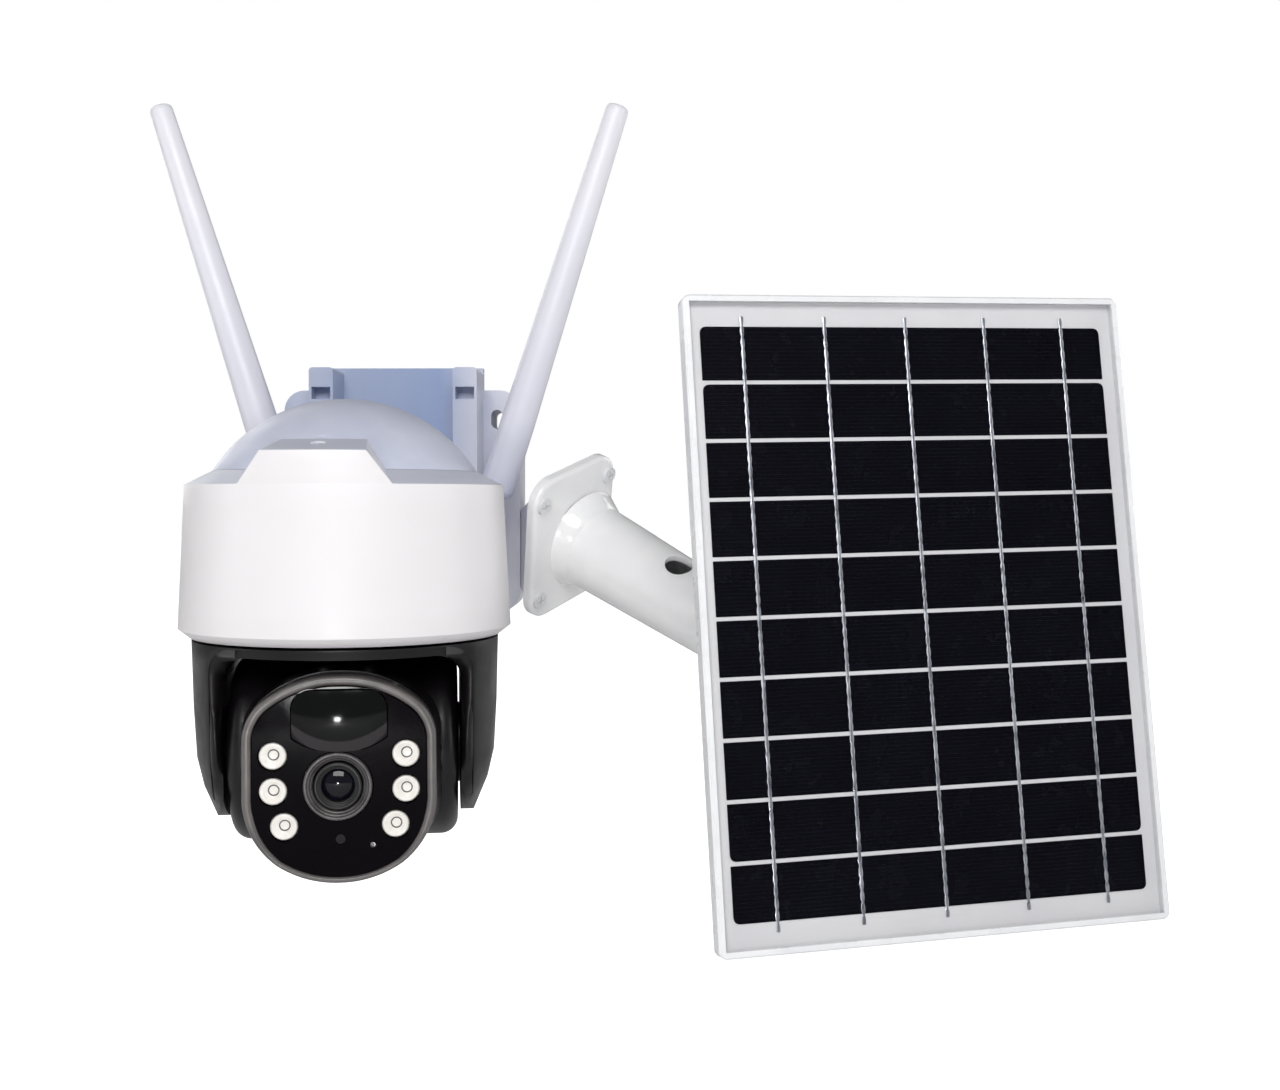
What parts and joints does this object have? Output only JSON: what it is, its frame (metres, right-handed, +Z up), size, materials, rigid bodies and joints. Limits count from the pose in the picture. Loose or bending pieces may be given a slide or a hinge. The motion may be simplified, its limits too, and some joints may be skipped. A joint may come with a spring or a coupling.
{
  "type": "solar security camera",
  "caption": "Wall-mounted pan and tilt security camera with whip antennas and a tilting solar panel on an arm.",
  "frame": {"origin": "centre of the wall bracket's rear face, where it meets the wall", "axes": "+X to the right seen from the front, +Y into the wall, +Z up; the camera looks along -Y"},
  "size_m": [0.3978, 0.201, 0.3216],
  "materials": {
    "white_gloss": "gloss",
    "dome_grey": "satin",
    "bracket_grey": "satin",
    "arm_white": "gloss",
    "black_shell": "satin",
    "rim_grey": "satin",
    "window_black": "gloss",
    "sensor_black": "gloss",
    "lens_metal": "satin",
    "optic": "polished",
    "lamp_white": "gloss",
    "board_green": "satin",
    "steel": "brushed",
    "motor_steel": "brushed",
    "gear_white": "satin",
    "rubber_black": "matte",
    "cell_wrap": "satin",
    "holder_black": "satin",
    "antenna_white": "satin",
    "frame_white": "satin",
    "clear_cover": "polished",
    "silicon": "gloss",
    "ribbon": "satin",
    "sheet_white": "satin",
    "joint_metal": "satin",
    "box_black": "satin"
  },
  "bodies": {
    "housing": {"wall_bracket": "bracket_grey", "side_adaptor": "bracket_grey", "visor": "white_gloss", "dome_shell": "dome_grey", "rear_housing": "white_gloss", "base_plate": "black_shell", "housing_screws": "steel", "pan_bearing": "steel", "pan_motor": "motor_steel", "main_board": "board_green", "battery_cells": "cell_wrap", "battery_holder": "holder_black", "charge_inlet": "black_shell", "inlet_plug": "rubber_black", "solar_arm": "arm_white", "arm_screws": "joint_metal"},
    "power_button": {"power_button": "rubber_black"},
    "reset_button": {"reset_button": "rubber_black"},
    "antenna_swivel_left": {"antenna_base_left": "antenna_white"},
    "antenna_whip_left": {"antenna_left": "antenna_white"},
    "antenna_swivel_right": {"antenna_base_right": "antenna_white"},
    "antenna_whip_right": {"antenna_right": "antenna_white"},
    "pan_drive": {"pan_pinion": "gear_white"},
    "turret": {"yoke_shell": "black_shell", "pan_hub": "gear_white", "hub_screws": "steel", "tilt_gear": "gear_white"},
    "head": {"head_shell": "black_shell", "head_screws": "steel", "face_bezel": "rim_grey", "front_window": "window_black", "pir_lens": "sensor_black", "pir_sensor": "steel", "lens_ring": "lens_metal", "lens_barrel": "lens_metal", "lens_glass": "optic", "sensor_board": "board_green", "led_board": "board_green", "led_cups": "lamp_white", "light_sensor": "optic", "microphone": "steel", "speaker": "holder_black", "tilt_axle": "gear_white", "tilt_motor": "motor_steel", "card_cover": "rim_grey", "memory_card": "holder_black"},
    "tilt_drive": {"tilt_pinion": "gear_white"},
    "panel_swivel": {"swivel_block": "joint_metal", "swivel_bolt": "steel"},
    "panel": {"panel_frame": "frame_white", "panel_glass": "clear_cover", "solar_cells": "silicon", "busbars": "ribbon", "backsheet": "sheet_white", "panel_mount": "joint_metal", "mount_screws": "steel", "tilt_bolt": "steel", "junction_box": "box_black", "cable_gland": "box_black"},
    "knob": {"clamp_knob": "box_black"}
  },
  "joints": [
    {"name": "pan", "type": "hinge", "parent": "housing", "child": "turret", "pos_m": [0, -0.142, -0.0486], "axis": [0, 0, 1], "range_deg": [-182, 167]},
    {"name": "pan_drive_spin", "type": "hinge", "parent": "housing", "child": "pan_drive", "pos_m": [0, -0.1128, -0.0399], "axis": [0, 0, 1], "range_deg": [-700, 760]},
    {"name": "tilt", "type": "hinge", "parent": "turret", "child": "head", "pos_m": [0, -0.142, -0.088], "axis": [0.9894, 0.1452, 0], "range_deg": [0, 85]},
    {"name": "tilt_drive_spin", "type": "hinge", "parent": "head", "child": "tilt_drive", "pos_m": [0.03095, -0.1229, -0.0806], "axis": [0.9894, 0.1452, 0], "range_deg": [-1, 265]},
    {"name": "antenna_left_swing", "type": "hinge", "parent": "housing", "child": "antenna_swivel_left", "pos_m": [-0.0419, -0.0568, -0.005], "axis": [1, 0, 0], "range_deg": [-8, 75]},
    {"name": "antenna_left_fold", "type": "hinge", "parent": "antenna_swivel_left", "child": "antenna_whip_left", "pos_m": [-0.0419, -0.0568, -0.005], "axis": [0, -1, 0], "range_deg": [-12, 70]},
    {"name": "antenna_right_swing", "type": "hinge", "parent": "housing", "child": "antenna_swivel_right", "pos_m": [0.0419, -0.0568, -0.005], "axis": [1, 0, 0], "range_deg": [-8, 35]},
    {"name": "antenna_right_fold", "type": "hinge", "parent": "antenna_swivel_right", "child": "antenna_whip_right", "pos_m": [0.0419, -0.0568, -0.005], "axis": [0, 1, 0], "range_deg": [-12, 4]},
    {"name": "panel_turn", "type": "hinge", "parent": "housing", "child": "panel_swivel", "pos_m": [0.18751, -0.10672, -0.077], "axis": [0, 0, 1], "range_deg": [-20, 30]},
    {"name": "panel_tilt", "type": "hinge", "parent": "panel_swivel", "child": "panel", "pos_m": [0.19117, -0.1223, -0.077], "axis": [0.9735, 0.2287, 0], "range_deg": [-35, 25]},
    {"name": "knob_turn", "type": "hinge", "parent": "panel", "child": "knob", "pos_m": [0.20849, -0.11823, -0.077], "axis": [0.9735, 0.2287, 0], "continuous": true},
    {"name": "power_press", "type": "slide", "parent": "housing", "child": "power_button", "axis": [0, 0, 1], "range_m": [0, 0.0012], "stiffness_N_per_m": 300},
    {"name": "reset_press", "type": "slide", "parent": "housing", "child": "reset_button", "axis": [0, 0, 1], "range_m": [0, 0.0012], "stiffness_N_per_m": 300}
  ],
  "couplings": [
    {"joint": "pan_drive_spin", "follows": "pan", "ratio": -4.1667},
    {"joint": "tilt_drive_spin", "follows": "tilt", "ratio": 3.0909}
  ]
}
